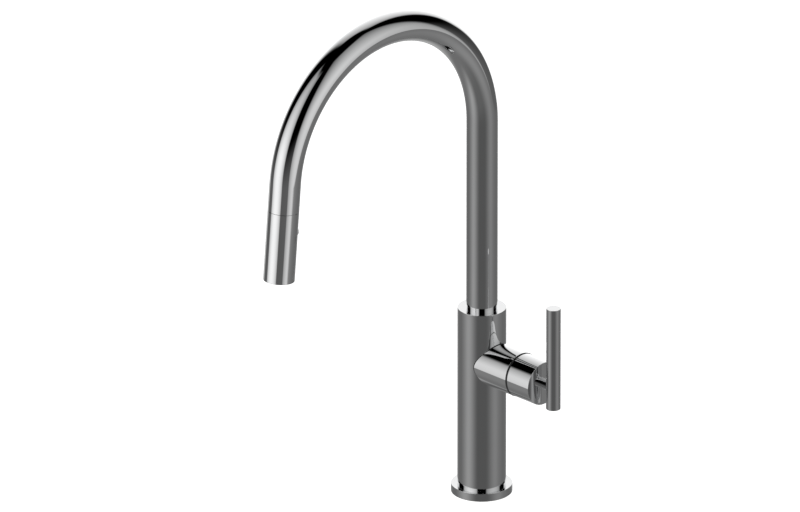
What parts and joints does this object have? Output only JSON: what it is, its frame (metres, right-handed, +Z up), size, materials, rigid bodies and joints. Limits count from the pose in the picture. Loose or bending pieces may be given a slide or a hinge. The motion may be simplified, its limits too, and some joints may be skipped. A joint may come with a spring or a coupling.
{
  "type": "pull down kitchen faucet",
  "caption": "Slim round high-arc kitchen faucet with a swivelling spout, a pull-down spray wand and one rod lever on a side valve.",
  "frame": {"origin": "centre of the base flange's underside, on the worktop", "axes": "+Z up along the body, spout reaching towards -Y, lever valve on +X"},
  "size_m": [0.1245, 0.2916, 0.5796],
  "materials": {
    "polished_chrome": "mirror-polished chrome plate",
    "steel": "plain stainless steel",
    "brass": "machined brass",
    "white_plastic": "white acetal",
    "grey_plastic": "grey plastic",
    "dark_plastic": "dark plastic",
    "ceramic": "polished ceramic",
    "rubber": "black rubber",
    "hose": "grey braided hose"
  },
  "bodies": {
    "column": {"base_flange": "polished_chrome", "base_gasket": "rubber", "lower_trim_ring": "polished_chrome", "body_shell": "polished_chrome", "base_insert": "brass", "mounting_shank": "brass", "valve_block": "brass", "hot_supply_tail": "steel", "hot_supply_nut": "brass", "cold_supply_tail": "steel", "cold_supply_nut": "brass", "outlet_tail": "steel", "rubber_washer": "rubber", "steel_washer": "steel", "mounting_nut": "brass", "nut_screw_right": "steel", "nut_screw_left": "steel", "valve_housing": "polished_chrome", "cartridge_body": "white_plastic", "cartridge_nut": "brass", "bonnet_dome": "dark_plastic", "swivel_bushing": "grey_plastic", "pull_hose_lower": "hose", "hose_coupler": "brass"},
    "spout": {"glide_washer": "white_plastic", "retaining_clip": "steel", "swivel_spigot": "brass", "spout_collar": "polished_chrome", "spout_tube": "polished_chrome", "pull_hose_upper": "hose", "dock_magnet": "steel", "dock_guide": "dark_plastic"},
    "hose_end": {"hose_ferrule": "steel", "hose_nipple": "brass"},
    "wand": {"dock_keeper": "steel", "hose_connector": "brass", "wand_shell": "polished_chrome", "core_gasket": "rubber", "wand_core": "white_plastic", "check_valve": "dark_plastic", "spray_nozzles": "rubber", "spray_face": "grey_plastic", "aerator_ring": "dark_plastic", "aerator_screen": "steel"},
    "spray_button": {"mode_button": "polished_chrome", "button_spring": "steel"},
    "valve_core": {"ceramic_disc": "ceramic", "stem_carrier": "grey_plastic", "pivot_pin": "steel"},
    "lever": {"lever_stem": "steel", "lever_hub": "polished_chrome", "hub_set_screw": "steel", "lever_arm": "polished_chrome", "lever_rod": "polished_chrome"}
  },
  "joints": [
    {"name": "spout_swivel", "type": "hinge", "parent": "column", "child": "spout", "pos_m": [0, 0, 0.18], "axis": [0, 0, 1], "continuous": true},
    {"name": "wand_pull", "type": "slide", "parent": "spout", "child": "hose_end", "axis": [0, -0.0872, -0.9962], "range_m": [0, 0.25]},
    {"name": "wand_spin", "type": "hinge", "parent": "hose_end", "child": "wand", "pos_m": [0, -0.24455, 0.34158], "axis": [0, -0.0872, -0.9962], "continuous": true},
    {"name": "button_press", "type": "slide", "parent": "wand", "child": "spray_button", "axis": [0, -0.9962, 0.0872], "range_m": [0, 0.002], "stiffness_N_per_m": 900, "springref_m": -0.001},
    {"name": "temperature_turn", "type": "hinge", "parent": "column", "child": "valve_core", "pos_m": [0.0378, 0, 0.127], "axis": [1, 0, 0], "range_deg": [-50, 50]},
    {"name": "flow_tilt", "type": "hinge", "parent": "valve_core", "child": "lever", "pos_m": [0.0378, 0, 0.127], "axis": [0, 1, 0], "range_deg": [0, 20]}
  ]
}
